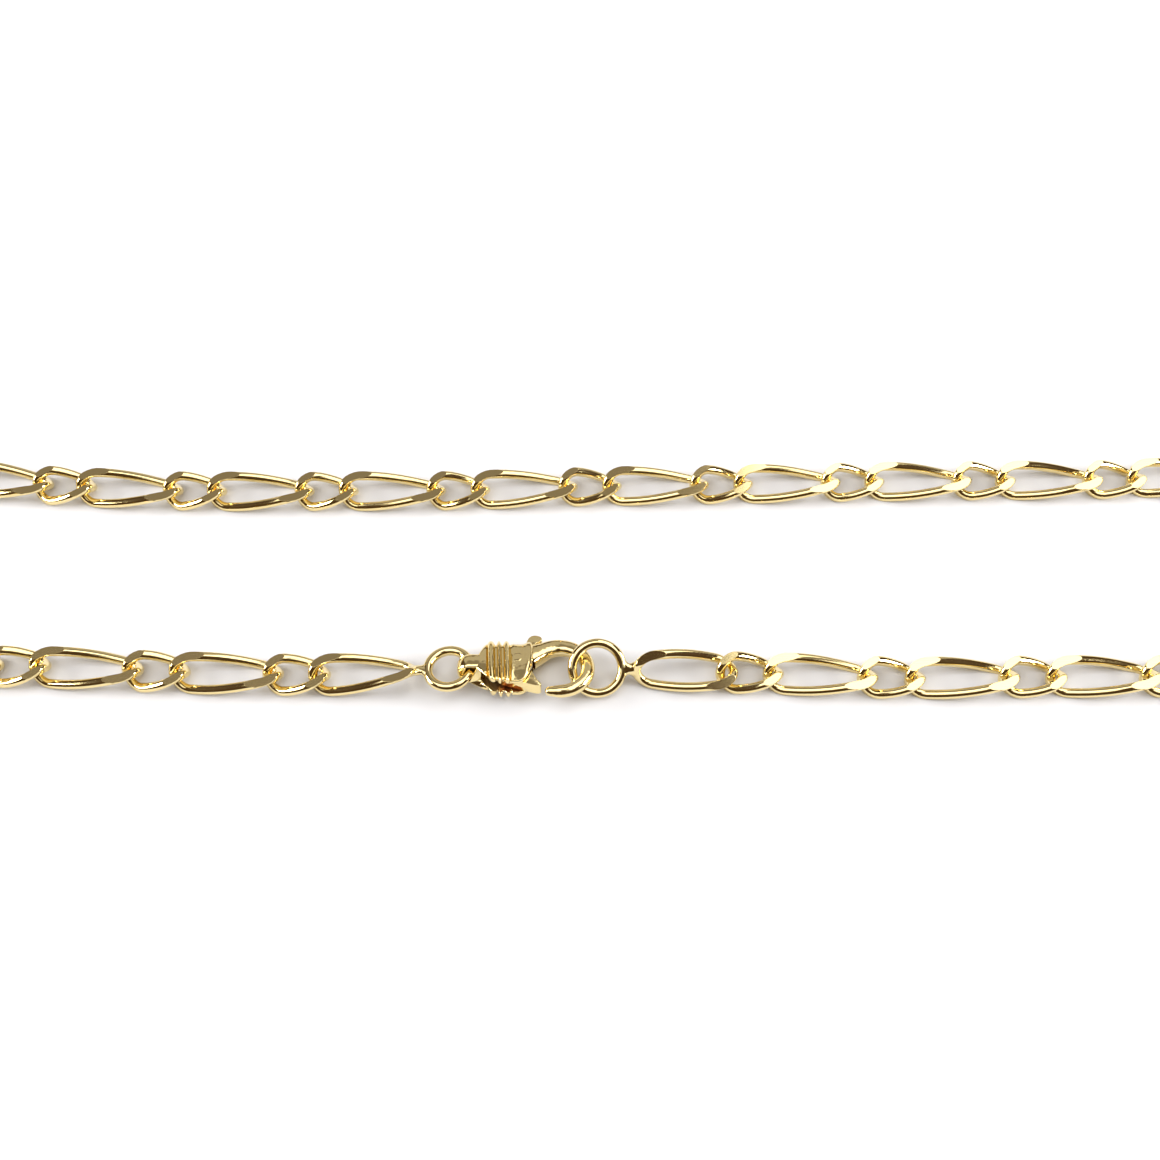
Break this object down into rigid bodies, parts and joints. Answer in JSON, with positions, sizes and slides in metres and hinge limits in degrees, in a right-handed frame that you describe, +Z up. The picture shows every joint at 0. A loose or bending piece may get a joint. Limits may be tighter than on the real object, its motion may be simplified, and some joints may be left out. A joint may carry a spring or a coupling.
{
  "type": "figaro chain necklace",
  "caption": "Gold figaro chain necklace of alternating long and short twisted links, closed by a lobster clasp with a sprung lever.",
  "frame": {"origin": "on the table, under the middle of the closed loop as it lies", "axes": "+X along the two strands from the clasp's tail to its hook, +Y from the clasp strand to the plain strand, +Z up from the table"},
  "size_m": [0.2099, 0.0318, 0.004],
  "materials": {
    "gold": "polished"
  },
  "bodies": {
    "necklace": {"chain_left": "gold", "chain_right": "gold", "clasp_end_link": "gold", "ring_end_link": "gold", "clasp_body": "gold", "lever_pin": "gold"},
    "lever": {"clasp_lever": "gold"}
  },
  "joints": [
    {"name": "lever_hinge", "type": "hinge", "parent": "necklace", "child": "lever", "pos_m": [-0.01024, -0.01069, 0.0018], "axis": [0, 0.2756, 0.9613], "range_deg": [0, 25], "stiffness_Nm_per_rad": 0.002, "springref_deg": -11.46}
  ]
}
